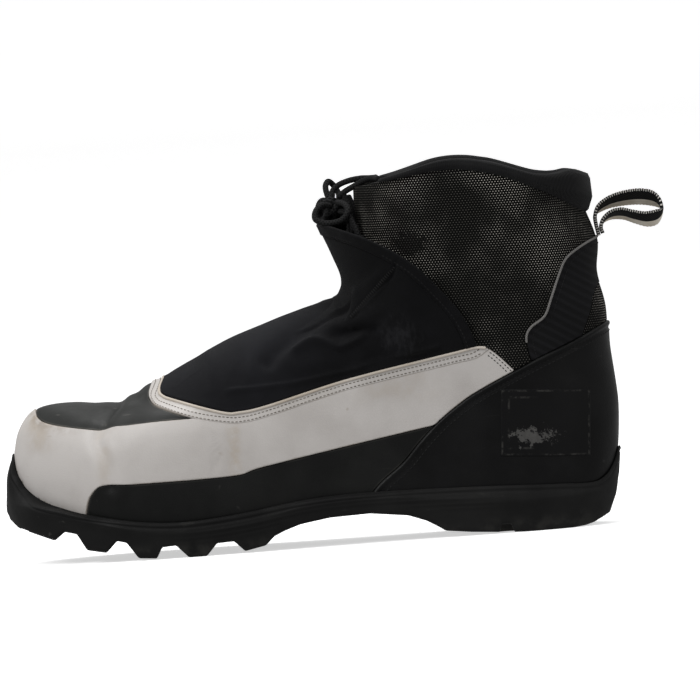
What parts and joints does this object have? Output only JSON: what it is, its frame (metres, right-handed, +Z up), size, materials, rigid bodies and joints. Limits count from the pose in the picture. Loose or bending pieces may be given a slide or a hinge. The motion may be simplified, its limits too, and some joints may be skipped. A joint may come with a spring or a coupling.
{
  "type": "cross country ski boot",
  "caption": "Low touring ski boot for the left foot: laced upper under a flared ankle gaiter, mesh cuff, lugged rubber sole with a toe bar.",
  "frame": {"origin": "centre of the boot's bounding box in plan, on the ground plane under the sole", "axes": "-X towards the toe, +X towards the heel, -Y the outer side of the left foot, +Z up"},
  "size_m": [0.3348, 0.0997, 0.1881],
  "materials": {
    "black_leather": "black synthetic leather, fine grain, scuffed",
    "board": "pressed fibre board",
    "collar_knit": "fine ribbed black knit over foam",
    "insole_felt": "dark felt on foam",
    "lace_braid": "round black braid",
    "lining_fabric": "dark brushed lining",
    "piping": "light grey cord piping",
    "shank_plastic": "moulded black plastic",
    "softshell": "matte blue-black softshell",
    "sole_rubber": "moulded matte black rubber, worn grey at the edges",
    "spacer_mesh": "black spacer mesh with rows of small grey dots",
    "steel": "worn bright steel",
    "stiffener": "heat-formed stiffener sheet",
    "webbing": "two-tone woven webbing, black and beige",
    "webbing_black": "narrow black webbing",
    "white_leather": "warm white synthetic leather with dirt in creases"
  },
  "bodies": {
    "shoe": {"achilles_panel": "softshell", "binding_bar": "steel", "collar_pad": "collar_knit", "eyestay": "black_leather", "gaiter_body": "softshell", "gaiter_hem_lateral": "softshell", "gaiter_hem_medial": "softshell", "heel_counter": "black_leather", "heel_mesh_insert": "spacer_mesh", "heel_stiffener": "stiffener", "insole": "insole_felt", "lace": "lace_braid", "lace_bow_lateral": "lace_braid", "lace_bow_medial": "lace_braid", "lace_knot": "lace_braid", "lace_loop_lateral_1": "webbing_black", "lace_loop_lateral_2": "webbing_black", "lace_loop_lateral_3": "webbing_black", "lace_loop_lateral_4": "webbing_black", "lace_loop_lateral_5": "webbing_black", "lace_loop_medial_1": "webbing_black", "lace_loop_medial_2": "webbing_black", "lace_loop_medial_3": "webbing_black", "lace_loop_medial_4": "webbing_black", "lace_loop_medial_5": "webbing_black", "lace_tail_lateral": "lace_braid", "lace_tail_medial": "lace_braid", "lasting_board": "board", "mesh_cuff_lateral": "spacer_mesh", "mesh_cuff_medial": "spacer_mesh", "outsole": "sole_rubber", "piping_lateral": "piping", "piping_medial": "piping", "quarter_lining_lateral": "lining_fabric", "quarter_lining_medial": "lining_fabric", "shank_board": "shank_plastic", "side_strip_lateral": "black_leather", "side_strip_medial": "black_leather", "throat_binding": "white_leather", "toe_lining": "lining_fabric", "toe_plate": "shank_plastic", "toe_puff": "stiffener", "toe_top_panel": "black_leather", "vamp_lining": "lining_fabric", "white_panel": "white_leather"},
    "gaiter_collar": {"gaiter_gusset": "softshell", "gaiter_hem_front": "softshell"},
    "loop": {"pull_loop": "webbing"},
    "tongue_flap": {"tongue": "softshell"}
  },
  "joints": [
    {"name": "gaiter_collar_fold", "type": "hinge", "parent": "shoe", "child": "gaiter_collar", "pos_m": [-0.008, 0, 0.1195], "axis": [0, -1, 0], "range_deg": [0, 32]},
    {"name": "pull_loop_swing", "type": "hinge", "parent": "shoe", "child": "loop", "pos_m": [0.138, 0, 0.1435], "axis": [0, -1, 0], "range_deg": [-45, 4]},
    {"name": "tongue_press", "type": "hinge", "parent": "shoe", "child": "tongue_flap", "pos_m": [-0.052, 0, 0.0835], "axis": [0, 1, 0], "range_deg": [0, 8]}
  ]
}
